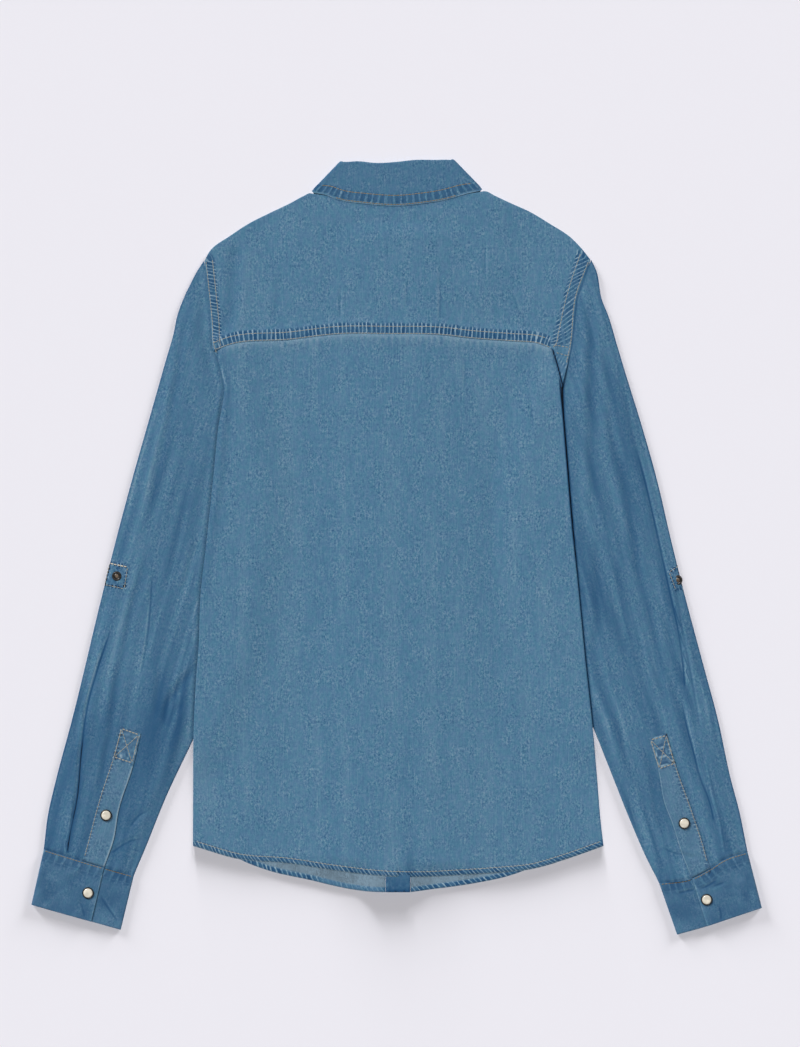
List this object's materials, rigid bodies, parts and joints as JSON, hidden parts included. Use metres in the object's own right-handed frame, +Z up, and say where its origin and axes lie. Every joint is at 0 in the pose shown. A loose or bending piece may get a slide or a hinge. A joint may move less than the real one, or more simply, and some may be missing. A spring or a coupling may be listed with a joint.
{
  "type": "denim shirt",
  "caption": "Long-sleeved denim shirt laid flat face down, with a lapped back yoke, folded collar, snap front, stitched sleeve plackets, roll-up tab snaps and open cuffs.",
  "frame": {"origin": "middle of the shirt's bounding box, on the surface that the shirt lies on", "axes": "+Z up from the surface, through the shirt's thickness; +Y from the hem to the collar; +X to the right as seen from above, which is the wearer's right, because the shirt lies face down"},
  "size_m": [0.7303, 0.7745, 0.0079],
  "materials": {
    "denim": "washed mid-blue shirt-weight denim, matt",
    "snap_metal": "dark gunmetal",
    "snap_pearl": "cream mother-of-pearl"
  },
  "bodies": {
    "root": {"back": "denim", "yoke": "denim", "front_left": "denim", "front_right": "denim", "placket_top": "denim", "placket_under": "denim", "collar_fall": "denim", "collar_stand": "denim", "sleeve_left": "denim", "sleeve_right": "denim", "sleeve_placket_left": "denim", "sleeve_placket_right": "denim", "cuff_left": "denim", "cuff_right": "denim", "snap_placket_left_rim": "snap_metal", "snap_placket_left_pearl": "snap_pearl", "snap_cuff_left_rim": "snap_metal", "snap_cuff_left_pearl": "snap_pearl", "tab_snap_left": "snap_metal", "snap_placket_right_rim": "snap_metal", "snap_placket_right_pearl": "snap_pearl", "snap_cuff_right_rim": "snap_metal", "snap_cuff_right_pearl": "snap_pearl", "tab_snap_right": "snap_metal", "front_snap_1": "snap_pearl", "front_snap_2": "snap_pearl", "front_snap_3": "snap_pearl", "front_snap_4": "snap_pearl", "front_snap_5": "snap_pearl", "front_snap_6": "snap_pearl", "front_snap_7": "snap_pearl", "stand_snap": "snap_pearl"}
  },
  "joints": []
}
